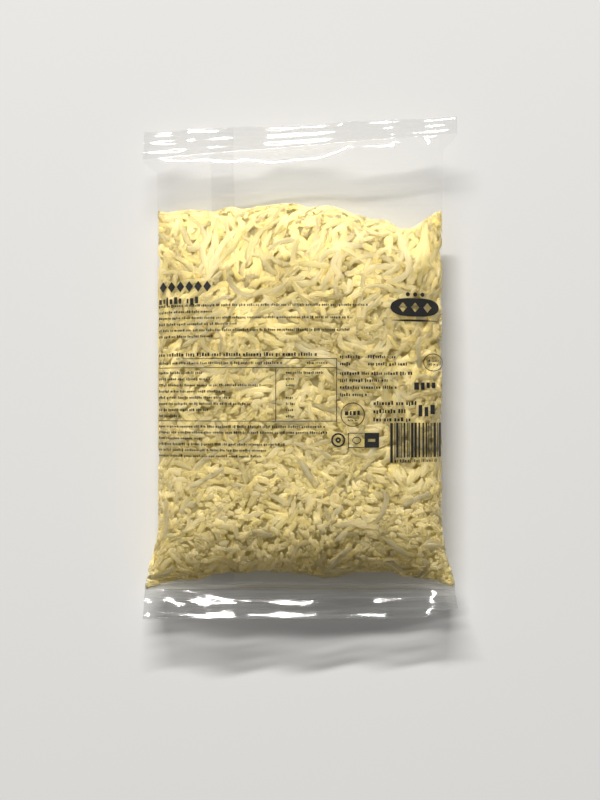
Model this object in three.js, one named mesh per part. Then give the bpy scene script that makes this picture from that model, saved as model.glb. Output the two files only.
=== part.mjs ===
import * as THREE from "three";

// A sealed pillow bag of grated cheese, lying on its back with the printed side up.
// The film is a tube, pressed flat and sealed across both ends, so the filled body is
// narrower than the seals. The cheese shows through the front as ridges the size of its
// shreds and ends short of the top seal, where the film sinks and is smooth over trapped air.
// Millimetres: X runs across the bag, Y towards its top seal and Z up from the table.

// Driving dimensions
const SEAL_WIDTH = 136; // across either seal, the width of the flat tube
const BODY_WIDTH = 124; // across the filled body, at its side edges
const SEAL_SPAN = 193; // between the two seal lines, along the middle of the bag
const TOP_FIN = 10; // from a seal line to the cut edge of its fin, in the middle
const BOTTOM_FIN = 11.6;
const FIN_THICKNESS = 1; // both films of a fin, with room for their small creases
const FRONT_RISE = 17; // crown of the front above the side edges
const BACK_DROP = 15; // how far the back would hang below the side edges without a table
const EDGE_HEIGHT = 12; // side edges above the table, along the body
const BOTTOM_SEAL_HEIGHT = 8.4;
const TOP_SEAL_HEIGHT = 14.5;
const SEAM_WIDTH = 10; // lengthwise seam on the back, folded flat
const SEAM_RELIEF = 0.6;
const SEAM_STEP = 0.4; // width of the slope at either edge of the seam
const SEAM_X = -34;
const SHRED_WIDTH = 3.6; // ridge that one shred raises in the film
const SHRED_LENGTHS = [9, 24];
const SHRED_RELIEF = [0.7, 1.4];
const SHRED_PITCH = 5.6; // mean distance between neighbouring ridges
// The two ends of the cheese seen from above, at evenly spaced places from left to right
const HEAP_START = [-95, -92, -87.5, -89, -90, -88, -89.5, -93.5];
const HEAP_END = [68.5, 70, 70, 71.5, 70.5, 66, 60.5, 66.5];

// How finely the surfaces are divided
const FRONT_COLUMNS = 50;
const BACK_COLUMNS = 12;
const BODY_ROWS = 72;
const FIN_ROWS = 6;
const OUTLINE_STEPS = 160; // points of a section before it is divided evenly

const BOTTOM_SEAL = -SEAL_SPAN / 2;
const TOP_SEAL = SEAL_SPAN / 2;

const clamp01 = (t) => Math.min(Math.max(t, 0), 1);
const smooth = (t) => clamp01(t) ** 2 * (3 - 2 * clamp01(t));
const mix = (a, b, t) => a + (b - a) * t;

// A repeatable draw between 0 and 1.
function seeded(seed) {
  let state = seed;
  return () => {
    state = (state * 1664525 + 1013904223) % 4294967296;
    return state / 4294967296;
  };
}

// Value at t, from 0 to 1, of a smooth line through evenly spaced values.
function through(values, t) {
  const place = clamp01(t) * (values.length - 1);
  const i = Math.min(Math.floor(place), values.length - 2);
  return mix(values[i], values[i + 1], smooth(place - i));
}

const fromSeals = (y) => Math.min(y - BOTTOM_SEAL, TOP_SEAL - y);

// Rise of the front from its seal lines, as a share of its crown. The bottom end is fuller.
const BOTTOM_REACH = 48; // from the bottom seal line to where the front is at its highest
const TOP_REACH = SEAL_SPAN / 2;
function pillow(y) {
  const reach = y < 0 ? BOTTOM_REACH : TOP_REACH;
  const bluntness = y < 0 ? 0.6 : 0.75;
  return (1 - (1 - clamp01(fromSeals(y) / reach)) ** 2.6) ** bluntness;
}

// How far the front sinks where the cheese has ended and the film spans to the top seal.
const SINK = 5;
const SINK_MIDDLE = 24; // from the top seal line
const SINK_REACH = 30;
function sink(y) {
  const away = Math.abs(TOP_SEAL - y - SINK_MIDDLE) / SINK_REACH;
  return SINK * (1 - smooth(away)) * smooth((TOP_SEAL - y) / SINK_MIDDLE);
}

// A slight bulge of the front just inside the top seal, where air is trapped. The list gives
// its height at evenly spaced places across.
const PUFFS = [0.5, 0.7, 0.6, 0.7, 0.6, 0, 1.1, 2.2];
const PUFF_REACH = 11;
const PUFF_ENDS = 4;
function puff(x, y) {
  const inside = TOP_SEAL - y;
  const rise = smooth(inside / PUFF_REACH) * (1 - smooth((inside - PUFF_REACH) / (2 * PUFF_REACH)));
  const ends = smooth((halfWidth(y) - Math.abs(x)) / PUFF_ENDS);
  return through(PUFFS, x / BODY_WIDTH + 0.5) * rise * ends;
}

// The back reaches the table sooner than the front reaches its crown.
const BACK_REACH = 42;
const backCurve = (y) => (1 - (1 - clamp01(fromSeals(y) / BACK_REACH)) ** 2) ** 0.8;

// How far out a place lies in a fin, from 0 at the seal line to 1 at the cut edge.
const inTopFin = (y) => clamp01((y - TOP_SEAL) / TOP_FIN);
const inBottomFin = (y) => clamp01((BOTTOM_SEAL - y) / BOTTOM_FIN);

// Half the width. The tube draws in slowly at the full end and at once at the airy one.
const BOTTOM_FLARE = 34;
const TOP_FLARE = 8;
function halfWidth(y) {
  const atBottom = 1 - smooth((y - BOTTOM_SEAL) / BOTTOM_FLARE);
  const atTop = 1 - smooth((TOP_SEAL - y) / TOP_FLARE);
  return mix(BODY_WIDTH / 2, SEAL_WIDTH / 2, Math.max(atBottom ** 1.4, atTop));
}

// Height of the side edges. The bottom fin tips up to its cut edge and the top one down.
const EDGE_REACH = 30; // from the bottom seal line to where the edges are level
const BOTTOM_FIN_LIFT = 6.5;
const TOP_FIN_DROOP = 2;
function edgeHeight(y) {
  const towardsBottom = 1 - smooth((y - BOTTOM_SEAL) / EDGE_REACH);
  const towardsTop = 1 - smooth((TOP_SEAL - y) / BACK_REACH);
  return (
    EDGE_HEIGHT +
    (BOTTOM_SEAL_HEIGHT - EDGE_HEIGHT) * towardsBottom +
    (TOP_SEAL_HEIGHT - EDGE_HEIGHT) * towardsTop +
    BOTTOM_FIN_LIFT * inBottomFin(y) -
    TOP_FIN_DROOP * inTopFin(y)
  );
}

// One section's outline, as a share of its crown, at xi from -1 to 1 across. It has sharp
// edges close to a seal and round ones along the body, and is squarer at the full end.
function outline(xi, y) {
  const body = smooth(fromSeals(y) / BACK_REACH);
  const squareness = mix(y > 0 ? 2 : 3, 2.7, body);
  const roundness = mix(y > 0 ? 1.35 : 1.6, 2, body);
  return (1 - Math.abs(xi) ** squareness) ** (1 / roundness);
}

// The fins don't lie flat: each has long and short waves across and pressed ribs. A wave
// has its length, the place of a crest and its share of the height.
const SEAL_WAVE = 0.7;
const FIN_WAVE = 0.9;
const WAVE_REACH = 14; // how far the waves run into the body
const RIB_DEPTH = 0.2;
const TOP_WAVES = [
  { length: 57, crest: 25.5, share: 0.9 },
  { length: 23, crest: -2, share: 0.4 },
  { length: 170, crest: 72, share: 0.5 },
];
const BOTTOM_WAVES = [
  { length: 150, crest: -25, share: 0.6 },
  { length: 37, crest: 1, share: 0.55 },
];
const TOP_TWIST = 0.7; // how much the top cut edge rises to its right end
const TOP_RIBS = 3;
const BOTTOM_RIBS = 2;
function ripple(x, y) {
  const fin = Math.max(inTopFin(y), inBottomFin(y));
  const height = SEAL_WAVE * (1 - smooth(fromSeals(y) / WAVE_REACH)) + FIN_WAVE * fin;
  let wave = 0;
  for (const { length, crest, share } of y > 0 ? TOP_WAVES : BOTTOM_WAVES) {
    wave += share * Math.cos((2 * Math.PI * (x - crest)) / length);
  }
  const ribs = y > 0 ? TOP_RIBS : BOTTOM_RIBS;
  const rib = fin > 0 && fin < 1 ? RIB_DEPTH * Math.cos(2 * Math.PI * ribs * fin) : 0;
  return height * wave + rib + TOP_TWIST * inTopFin(y) * (x / (SEAL_WIDTH / 2));
}

// The top seal is skewed, and the bottom fin's right corner curls up and in.
const TOP_SKEW = [5.6, 3]; // at the seal line and at the cut edge, at the side edges
const SKEW_REACH = 45;
const CURL_START = 52;
const CURL_IN = 5;
const CURL_UP = 2.4;
function settle(x, y, z) {
  const skew = mix(...TOP_SKEW, inTopFin(y)) * smooth(1 - (TOP_SEAL - y) / SKEW_REACH);
  const curl = inBottomFin(y) * smooth((x - CURL_START) / (SEAL_WIDTH / 2 - CURL_START));
  return [
    x,
    y + (skew * x) / (SEAL_WIDTH / 2) + CURL_IN * curl,
    z + ripple(x, y) + CURL_UP * curl,
  ];
}

// Ridges that the shreds raise in the film, strewn one to each cell of a jittered grid.
function strewShreds() {
  const draw = seeded(20);
  const shreds = [];
  for (let y = Math.min(...HEAP_START); y < Math.max(...HEAP_END); y += SHRED_PITCH) {
    for (let x = -BODY_WIDTH / 2; x < BODY_WIDTH / 2; x += SHRED_PITCH) {
      const angle = Math.PI * draw();
      shreds.push({
        x: x + SHRED_PITCH * draw(),
        y: y + SHRED_PITCH * draw(),
        along: [Math.cos(angle), Math.sin(angle)],
        bend: 0.06 * (draw() - 0.5),
        length: mix(...SHRED_LENGTHS, draw() ** 2),
        height: mix(...SHRED_RELIEF, draw()),
      });
    }
  }
  return shreds;
}

const shreds = strewShreds();

// Height of the relief at a place on the front. It fades out at the ends of the heap, and
// at the side edges, where the film runs straight from shred to shred.
const HEAP_FADE = 5;
const SIDE_FADE = 9;
function relief(x, y) {
  const across = x / BODY_WIDTH + 0.5;
  const afterStart = smooth((y - through(HEAP_START, across)) / HEAP_FADE);
  const beforeEnd = smooth((through(HEAP_END, across) - y) / HEAP_FADE);
  const fade = afterStart * beforeEnd * smooth((halfWidth(y) - Math.abs(x)) / SIDE_FADE);
  if (fade === 0) return 0;
  let highest = 0;
  for (const shred of shreds) {
    const dx = x - shred.x;
    const dy = y - shred.y;
    const along = dx * shred.along[0] + dy * shred.along[1];
    if (Math.abs(along) > shred.length / 2) continue;
    const aside = dy * shred.along[0] - dx * shred.along[1] + shred.bend * along ** 2;
    const width = 1 - ((2 * aside) / SHRED_WIDTH) ** 2;
    if (width <= 0) continue;
    const taper = 1 - ((2 * along) / shred.length) ** 6;
    highest = Math.max(highest, shred.height * Math.sqrt(width) * taper);
  }
  return highest * fade;
}

// Points of an outline at the given shares, from 0 to 1, of its length.
function divide(points, shares) {
  const lengths = [0];
  for (let i = 1; i < points.length; i++) {
    lengths.push(lengths[i - 1] + points[i].distanceTo(points[i - 1]));
  }
  let i = 1;
  return shares.map((share) => {
    const wanted = share * lengths.at(-1);
    while (i < points.length - 1 && lengths[i] < wanted) i++;
    const t = (wanted - lengths[i - 1]) / (lengths[i] - lengths[i - 1]);
    return points[i - 1].clone().lerp(points[i], clamp01(t));
  });
}

// Dense outline of the front or the back at y, from left to right, as points across and up.
function sectionLine(y, height) {
  const line = [];
  for (let i = 0; i <= OUTLINE_STEPS; i++) {
    const xi = Math.sin(Math.PI * (i / OUTLINE_STEPS - 0.5));
    line.push(new THREE.Vector2(halfWidth(y) * xi, height(xi)));
  }
  return line;
}

// One row of the front: the section, pushed out along its own normal by the relief.
const FRONT_SHARES = Array.from({ length: FRONT_COLUMNS + 1 }, (_, i) => i / FRONT_COLUMNS);
function frontRow(y) {
  const crown = FRONT_RISE * pillow(y) - sink(y);
  const base = edgeHeight(y) + FIN_THICKNESS / 2;
  const height = (xi) => base + crown * outline(xi, y) + puff(xi * halfWidth(y), y);
  const row = divide(sectionLine(y, height), FRONT_SHARES);
  return row.map((point, i) => {
    const before = row[Math.max(i - 1, 0)];
    const after = row[Math.min(i + 1, row.length - 1)];
    const out = new THREE.Vector2(before.y - after.y, after.x - before.x).normalize();
    out.multiplyScalar(relief(point.x, y));
    return settle(point.x + out.x, y, point.y + out.y);
  });
}

// Places across the back, closer together at the sides, and two at each edge of the seam.
function backPlaces(y) {
  const places = [];
  for (let i = 0; i <= BACK_COLUMNS; i++) {
    places.push(halfWidth(y) * Math.sin(Math.PI * (i / BACK_COLUMNS - 0.5)));
  }
  for (const side of [-1, 1]) {
    places.push(SEAM_X + (side * SEAM_WIDTH) / 2, SEAM_X + side * (SEAM_WIDTH / 2 - SEAM_STEP));
  }
  return places.sort((a, b) => a - b);
}

// One row of the back. It lies flat where it would sink below the table, and the folded
// seam stands out of it near the ends.
function backRow(y) {
  const drop = BACK_DROP * backCurve(y);
  const base = edgeHeight(y) - FIN_THICKNESS / 2;
  return backPlaces(y).map((x) => {
    const onSeam = Math.abs(x - SEAM_X) < SEAM_WIDTH / 2 - SEAM_STEP / 2;
    const bare = base - drop * outline(x / halfWidth(y), y);
    const settled = settle(x, y, onSeam ? bare - SEAM_RELIEF : bare);
    return [settled[0], settled[1], Math.max(settled[2], 0)];
  });
}

// Stations from the bottom fin's cut edge to the top one's.
function stations() {
  const rows = [];
  for (let i = 0; i < FIN_ROWS; i++) rows.push(BOTTOM_SEAL - BOTTOM_FIN * (1 - i / FIN_ROWS));
  for (let i = 0; i <= BODY_ROWS; i++) {
    const t = (2 * i) / BODY_ROWS - 1; // closer together where the pillow rises steeply
    rows.push((SEAL_SPAN / 2) * mix(t, Math.sin((Math.PI / 2) * t), 0.35));
  }
  for (let i = 1; i <= FIN_ROWS; i++) rows.push(TOP_SEAL + TOP_FIN * (i / FIN_ROWS));
  return rows;
}

// A closed skin over rows of points: front, back, both side walls and both cut edges.
class Skin {
  positions = [];
  faces = [];

  addRow(points) {
    const first = this.positions.length / 3;
    for (const point of points) this.positions.push(...point);
    return points.map((_, i) => first + i);
  }

  quad(a, b, c, d) {
    this.faces.push(a, b, c, a, c, d);
  }

  // Triangles between two lines of vertices that run the same way, a on the left going on.
  zip(a, b) {
    let i = 0;
    let j = 0;
    while (i < a.length - 1 || j < b.length - 1) {
      const stepA = (i + 1) / (a.length - 1);
      const stepB = (j + 1) / (b.length - 1);
      if (j === b.length - 1 || (i < a.length - 1 && stepA <= stepB)) {
        this.faces.push(a[i], b[j], a[i + 1]);
        i++;
      } else {
        this.faces.push(a[i], b[j], b[j + 1]);
        j++;
      }
    }
  }

  geometry() {
    const geometry = new THREE.BufferGeometry();
    geometry.setAttribute("position", new THREE.Float32BufferAttribute(this.positions, 3));
    geometry.setIndex(this.faces);
    geometry.computeVertexNormals();
    return geometry;
  }
}

function bagGeometry() {
  const skin = new Skin();
  const fronts = stations().map((y) => skin.addRow(frontRow(y)));
  const backs = stations().map((y) => skin.addRow(backRow(y)));
  for (let r = 0; r < fronts.length - 1; r++) {
    const [front, nextFront, back, nextBack] = [fronts[r], fronts[r + 1], backs[r], backs[r + 1]];
    for (let i = 0; i < front.length - 1; i++) {
      skin.quad(front[i], front[i + 1], nextFront[i + 1], nextFront[i]);
    }
    for (let i = 0; i < back.length - 1; i++) {
      skin.quad(back[i + 1], back[i], nextBack[i], nextBack[i + 1]);
    }
    skin.quad(back[0], front[0], nextFront[0], nextBack[0]);
    skin.quad(front.at(-1), back.at(-1), nextBack.at(-1), nextFront.at(-1));
  }
  skin.zip(fronts[0], backs[0]);
  skin.zip(backs.at(-1), fronts.at(-1));
  return skin.geometry();
}

// The origin is on the table, under the middle of the bag's box.
function centred(geometry) {
  geometry.computeBoundingBox();
  const { min, max } = geometry.boundingBox;
  return geometry.translate(-(min.x + max.x) / 2, -(min.y + max.y) / 2, -min.z);
}

const cheese = new THREE.MeshStandardMaterial({ color: 0xefdc9c, roughness: 0.35, metalness: 0 });

const bag = new THREE.Mesh(centred(bagGeometry()), cheese);
bag.name = "bag";

const group = new THREE.Group();
group.add(bag);

export default group;
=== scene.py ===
import bpy
import numpy as np
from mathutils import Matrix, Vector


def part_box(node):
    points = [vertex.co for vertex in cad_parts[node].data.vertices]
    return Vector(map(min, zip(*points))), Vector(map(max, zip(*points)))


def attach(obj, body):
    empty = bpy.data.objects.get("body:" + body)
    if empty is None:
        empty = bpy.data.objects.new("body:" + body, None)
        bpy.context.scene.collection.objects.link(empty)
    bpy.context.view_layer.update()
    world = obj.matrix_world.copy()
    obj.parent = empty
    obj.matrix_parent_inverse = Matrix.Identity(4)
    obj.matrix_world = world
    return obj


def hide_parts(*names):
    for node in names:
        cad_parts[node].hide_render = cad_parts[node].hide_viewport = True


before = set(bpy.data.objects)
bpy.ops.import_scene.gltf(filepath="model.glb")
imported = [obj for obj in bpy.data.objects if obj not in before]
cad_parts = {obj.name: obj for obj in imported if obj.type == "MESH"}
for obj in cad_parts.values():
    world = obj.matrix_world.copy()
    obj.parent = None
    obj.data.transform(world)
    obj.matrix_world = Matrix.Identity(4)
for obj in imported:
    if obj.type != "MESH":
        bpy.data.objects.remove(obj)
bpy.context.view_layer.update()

MM = 0.001

# Driving dimensions, those of the solid
SEAL_WIDTH = 136.0  # across either seal, the width of the flat tube
BODY_WIDTH = 124.0  # across the filled body, at its side edges
SEAL_SPAN = 193.0  # between the two seal lines, along the middle of the bag
TOP_FIN = 10.0  # from a seal line to the cut edge of its fin, in the middle
BOTTOM_FIN = 11.6
FRONT_RISE = 17.0  # crown of the front above the side edges
BACK_DROP = 15.0  # how far the back would hang below the side edges without a table
EDGE_HEIGHT = 12.0  # side edges above the table, along the body
BOTTOM_SEAL_HEIGHT = 8.4
TOP_SEAL_HEIGHT = 14.5
SEAM_WIDTH = 10.0  # lengthwise seam on the back, folded flat
SEAM_X = -34.0
# The two ends of the cheese seen from above, at evenly spaced places from left to right
HEAP_START = [-95, -92, -87.5, -89, -90, -88, -89.5, -93.5]
HEAP_END = [68.5, 70, 70, 71.5, 70.5, 66, 60.5, 66.5]

BOTTOM_SEAL = -SEAL_SPAN / 2
TOP_SEAL = SEAL_SPAN / 2
FILM = 0.3  # both films of a fin together
TABLE_GAP = 0.2  # room under the back for its folded seam


def clamp01(t):
    return np.clip(t, 0.0, 1.0)


def smooth(t):
    t = clamp01(t)
    return t * t * (3 - 2 * t)


def mix(a, b, t):
    return a + (b - a) * t


LATTICE = 256


def noise(u, v, seed):
    """Smooth random values between -1 and 1, with a lattice point at each whole number."""
    lattice = np.random.default_rng(seed).uniform(-1, 1, (LATTICE, LATTICE))
    u0 = np.floor(u).astype(int)
    v0 = np.floor(v).astype(int)
    along_u = smooth(u - u0)
    along_v = smooth(v - v0)

    def corner(i, j):
        return lattice[(u0 + i) % LATTICE, (v0 + j) % LATTICE]

    low = mix(corner(0, 0), corner(1, 0), along_u)
    high = mix(corner(0, 1), corner(1, 1), along_u)
    return mix(low, high, along_v)


def through(values, t):
    """Value at t, from 0 to 1, of a smooth line through evenly spaced values."""
    values = np.asarray(values, float)
    place = clamp01(t) * (len(values) - 1)
    i = np.minimum(place.astype(int), len(values) - 2)
    return mix(values[i], values[i + 1], smooth(place - i))


# ---------------------------------------------------------------- the form of the bag

BOTTOM_REACH = 48.0  # from the bottom seal line to where the front is at its highest
TOP_REACH = SEAL_SPAN / 2
SINK = 5.0  # depth to which the front sinks beyond the end of the cheese
SINK_MIDDLE = 24.0  # from the top seal line
SINK_REACH = 30.0
BACK_REACH = 42.0  # from a seal line to where the back meets the table
EDGE_REACH = 30.0  # from the bottom seal line to where the side edges are level
BOTTOM_FLARE = 34.0
TOP_FLARE = 8.0
BOTTOM_FIN_LIFT = 6.5
TOP_FIN_DROOP = 2.0


def from_seals(y):
    return np.minimum(y - BOTTOM_SEAL, TOP_SEAL - y)


def pillow(y):
    """Rise of the front from its seal lines, as a share of its crown."""
    reach = np.where(y < 0, BOTTOM_REACH, TOP_REACH)
    bluntness = np.where(y < 0, 0.6, 0.75)
    return (1 - (1 - clamp01(from_seals(y) / reach)) ** 2.6) ** bluntness


# How much the front bulges just inside the top seal, at evenly spaced places across
PUFFS = [0.5, 0.7, 0.6, 0.7, 0.6, 0.0, 1.1, 2.2]
PUFF_REACH = 11.0
PUFF_ENDS = 4.0


def puff(x, y):
    """A slight bulge of the front inside the top seal, where air is trapped."""
    inside = TOP_SEAL - y
    rise = smooth(inside / PUFF_REACH) * (1 - smooth((inside - PUFF_REACH) / (2 * PUFF_REACH)))
    ends = smooth((half_width(y) - np.abs(x)) / PUFF_ENDS)
    return through(PUFFS, x / BODY_WIDTH + 0.5) * rise * ends


def sink(y):
    """How far the front sinks where the cheese has ended and the film spans to the seal."""
    away = (TOP_SEAL - y - SINK_MIDDLE) / SINK_REACH
    return SINK * (1 - smooth(np.abs(away))) * smooth((TOP_SEAL - y) / SINK_MIDDLE)


def back_curve(y):
    return (1 - (1 - clamp01(from_seals(y) / BACK_REACH)) ** 2) ** 0.8


def in_top_fin(y):
    return clamp01((y - TOP_SEAL) / TOP_FIN)


def in_bottom_fin(y):
    return clamp01((BOTTOM_SEAL - y) / BOTTOM_FIN)


def half_width(y):
    """The tube draws in slowly at the full end and at once at the airy one."""
    at_bottom = 1 - smooth((y - BOTTOM_SEAL) / BOTTOM_FLARE)
    at_top = 1 - smooth((TOP_SEAL - y) / TOP_FLARE)
    return mix(BODY_WIDTH / 2, SEAL_WIDTH / 2, np.maximum(at_bottom**1.4, at_top))


def edge_height(y):
    """Height of the side edges. The bottom fin tips up and the top one down."""
    towards_bottom = 1 - smooth((y - BOTTOM_SEAL) / EDGE_REACH)
    towards_top = 1 - smooth((TOP_SEAL - y) / BACK_REACH)
    return (
        EDGE_HEIGHT
        + (BOTTOM_SEAL_HEIGHT - EDGE_HEIGHT) * towards_bottom
        + (TOP_SEAL_HEIGHT - EDGE_HEIGHT) * towards_top
        + BOTTOM_FIN_LIFT * in_bottom_fin(y)
        - TOP_FIN_DROOP * in_top_fin(y)
    )


def outline(xi, y):
    """A section's outline as a share of its crown, at xi from -1 to 1 across."""
    body = smooth(from_seals(y) / BACK_REACH)
    squareness = np.where(y > 0, mix(2.0, 2.7, body), mix(3.0, 2.7, body))
    roundness = np.where(y > 0, mix(1.35, 2.0, body), mix(1.6, 2.0, body))
    return (1 - np.minimum(np.abs(xi), 1) ** squareness) ** (1 / roundness)


def front_height(x, y):
    crown = FRONT_RISE * pillow(y) - sink(y)
    return edge_height(y) + FILM / 2 + crown * outline(x / half_width(y), y) + puff(x, y)


def back_height(x, y):
    drop = BACK_DROP * back_curve(y)
    return edge_height(y) - FILM / 2 - drop * outline(x / half_width(y), y)


# A wave of a fin has its length, the place of a crest and its share of the height.
SEAL_WAVE = 0.7
FIN_WAVE = 0.9
WAVE_REACH = 14.0  # how far the waves run into the body
TOP_WAVES = [(57, 25.5, 0.9), (23, -2, 0.4), (170, 72, 0.5)]
BOTTOM_WAVES = [(150, -25, 0.6), (37, 1, 0.55)]


def waves(x, y):
    """Long waves that both films of a fin make together."""
    fin = np.maximum(in_top_fin(y), in_bottom_fin(y))
    height = SEAL_WAVE * (1 - smooth(from_seals(y) / WAVE_REACH)) + FIN_WAVE * fin

    def total(parts):
        return sum(share * np.cos(2 * np.pi * (x - crest) / length)
                   for length, crest, share in parts)

    return height * np.where(y > 0, total(TOP_WAVES), total(BOTTOM_WAVES))


TOP_TWIST = 0.7  # how much the top cut edge rises to its right end
TOP_RIBS = 3
BOTTOM_RIBS = 2
TOP_RIB_DEPTH = 0.11
BOTTOM_RIB_DEPTH = 0.09
RIB_PHASE = 0.157  # of the top fin's length
RIB_ENDS = 0.08  # share of a fin over which its ribs begin and end


def ribs(x, y):
    """Ribs that the sealing jaws press across a fin, deeper in some places than others."""
    top = in_top_fin(y)
    bottom = in_bottom_fin(y)
    fin = np.maximum(top, bottom)
    ends = smooth(fin / RIB_ENDS) * smooth((1 - fin) / RIB_ENDS)
    press = 1 + 0.45 * noise(x / 17, y / 40, 3)
    top_rib = TOP_RIB_DEPTH * np.cos(2 * np.pi * TOP_RIBS * (top - RIB_PHASE))
    bottom_rib = BOTTOM_RIB_DEPTH * np.cos(2 * np.pi * BOTTOM_RIBS * bottom)
    return ends * press * np.where(y > 0, top_rib, bottom_rib)


CRINKLE_REACH = 4.0  # how far the fine creases of a fin run into the body
OBLIQUE = 0.6  # how far the creases lean
# A crinkle has its cell across and along the bag, its height and its seed.
CRINKLES = [(7, 15, 0.32, 11), (3.1, 6, 0.15, 12), (6, 2.6, 0.1, 13), (1.7, 2.2, 0.04, 14)]


def crinkles(x, y):
    """Fine creases of both films, all over a fin and for a little way into the body."""
    inside = np.maximum(from_seals(y), 0)
    fade = np.exp(-((inside / CRINKLE_REACH) ** 2))
    return fade * sum(height * noise((x + OBLIQUE * y) / across, y / along, seed)
                      for across, along, height, seed in CRINKLES)


# The top seal is skewed, and the bottom fin's right corner curls up and in.
TOP_SKEW = (5.6, 3.0)  # at the seal line and at the cut edge, at the side edges
SKEW_REACH = 45.0
CURL_START = 52.0
CURL_IN = 5.0
CURL_UP = 2.4


def settle(x, y, z):
    """A point of the tube, moved to where it lies in the slumped bag."""
    skew = mix(*TOP_SKEW, in_top_fin(y)) * smooth(1 - (TOP_SEAL - y) / SKEW_REACH)
    curl = in_bottom_fin(y) * smooth((x - CURL_START) / (SEAL_WIDTH / 2 - CURL_START))
    aside = x / (SEAL_WIDTH / 2)
    lift = waves(x, y) + ribs(x, y) + crinkles(x, y) + CURL_UP * curl
    lift = lift + TOP_TWIST * in_top_fin(y) * aside
    return np.stack([x, y + skew * aside + CURL_IN * curl, z + lift], axis=-1)


OUTLINE_STEPS = 400  # points of a section before it is divided evenly


def section(height, y, columns):
    """x and z of a section of the tube at y, divided evenly along its outline."""
    xi = np.sin(np.pi * (np.arange(OUTLINE_STEPS + 1) / OUTLINE_STEPS - 0.5))
    x = half_width(y) * xi
    z = height(x, y)
    along = np.concatenate([[0], np.cumsum(np.hypot(np.diff(x), np.diff(z)))])
    wanted = np.linspace(0, along[-1], columns + 1)
    return np.interp(wanted, along, x), np.interp(wanted, along, z)


DENTS = [(34, 30, 0.45, 21), (15, 13, 0.16, 22)]  # across, along, height and seed
DENT_FADE = 12.0


def dents(x, y):
    """Shallow unevenness of the filled front."""
    sides = smooth((half_width(y) - np.abs(x)) / DENT_FADE)
    fade = sides * smooth(from_seals(y) / DENT_FADE)
    return fade * sum(height * noise(x / across, y / along, seed)
                      for across, along, height, seed in DENTS)


def lay(height, rows, columns):
    """Points of the front or the back over its rows, as raw x and as settled points."""
    raw = np.empty((len(rows), columns + 1))
    points = np.empty((len(rows), columns + 1, 3))
    for r, y in enumerate(rows):
        x, z = section(height, y, columns)
        if height is front_height:
            z = z + dents(x, np.full_like(x, y))
        raw[r] = x
        points[r] = settle(x, np.full_like(x, y), z)
    points[..., 2] = np.maximum(points[..., 2], TABLE_GAP)
    return raw, points


def unit(vectors):
    return vectors / np.maximum(np.linalg.norm(vectors, axis=-1, keepdims=True), 1e-12)


def normals_of(points, facing):
    """Unit normals of a grid of points. facing is 1 if they point up where columns go right."""
    along = np.gradient(points, axis=0)
    across = np.gradient(points, axis=1)
    return facing * unit(np.cross(across, along))


def look_up(grid, row, column, wrap=False):
    """Values of a grid at places between its rows and columns."""
    row = np.clip(row, 0, grid.shape[0] - 1.001)
    r = row.astype(int)
    down = (row - r)[..., None]
    if not wrap:
        column = np.clip(column, 0, grid.shape[1] - 1.001)
    c = np.floor(column).astype(int)
    along = (column - c)[..., None]
    c0 = c % grid.shape[1]
    c1 = (c + 1) % grid.shape[1]
    upper = mix(grid[r, c0], grid[r, c1], along)
    lower = mix(grid[r + 1, c0], grid[r + 1, c1], along)
    return mix(upper, lower, down)


# ---------------------------------------------------------------- meshes

def make_piece(name, points, quads, materials, triangles=None, which=None):
    """A mesh of points in millimetres. which gives each face's place among the materials."""
    triangles = np.empty((0, 3), int) if triangles is None else triangles
    mesh = bpy.data.meshes.new(name)
    corners = np.concatenate([quads.ravel(), triangles.ravel()])
    sizes = np.concatenate([np.full(len(quads), 4), np.full(len(triangles), 3)])
    mesh.vertices.add(len(points))
    mesh.vertices.foreach_set("co", ((points + SHIFT) * MM).astype(np.float32).ravel())
    mesh.loops.add(len(corners))
    mesh.loops.foreach_set("vertex_index", corners.astype(np.int32))
    mesh.polygons.add(len(sizes))
    starts = np.concatenate([[0], np.cumsum(sizes)[:-1]])
    mesh.polygons.foreach_set("loop_start", starts.astype(np.int32))
    mesh.polygons.foreach_set("use_smooth", np.ones(len(sizes), bool))
    for material in materials:
        mesh.materials.append(material)
    if which is not None:
        mesh.polygons.foreach_set("material_index", which.astype(np.int32))
    mesh.update(calc_edges=True)
    mesh.validate()
    piece = bpy.data.objects.new(name, mesh)
    bpy.context.scene.collection.objects.link(piece)
    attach(piece, "root")
    return piece


def add_tone_and_shade(piece, tone_and_shade):
    """A tone for each point of a piece, which its material reads: partly the piece's own colour and
    partly painted shade.
    """
    attribute = piece.data.attributes.new("tone_and_shade", "FLOAT", "POINT")
    attribute.data.foreach_set("value", tone_and_shade.astype(np.float32))


def grid_quads(rows, columns, wrap=False):
    """Faces of a grid of points, rows by columns, which point up where columns go right."""
    r = np.arange(rows - 1)[:, None]
    c = np.arange(columns if wrap else columns - 1)[None, :]
    after = (c + 1) % columns
    return np.stack([r * columns + c, r * columns + after,
                     (r + 1) * columns + after, (r + 1) * columns + c], axis=-1).reshape(-1, 4)


# ---------------------------------------------------------------- materials

def new_material(name):
    material = bpy.data.materials.new(name)
    material.use_nodes = True
    nodes = material.node_tree.nodes
    nodes.clear()
    output = nodes.new("ShaderNodeOutputMaterial")
    return nodes, material.node_tree.links, output, material


def math_node(nodes, links, operation, *inputs):
    node = nodes.new("ShaderNodeMath")
    node.operation = operation
    for socket, value in zip(node.inputs, inputs):
        if isinstance(value, bpy.types.NodeSocket):
            links.new(value, socket)
        else:
            socket.default_value = value
    return node.outputs[0]


def mix_shaders(nodes, links, share, first, second):
    """Output of a mix of two shaders, with share, a number or a socket, of the second."""
    node = nodes.new("ShaderNodeMixShader")
    if isinstance(share, bpy.types.NodeSocket):
        links.new(share, node.inputs[0])
    else:
        node.inputs[0].default_value = share
    links.new(first.outputs[0], node.inputs[1])
    links.new(second.outputs[0], node.inputs[2])
    return node


STREAK_SCALE = (18, 560, 0)  # the haze of a seal runs in streaks across the bag
CREASE_SCALE = 1100


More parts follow.
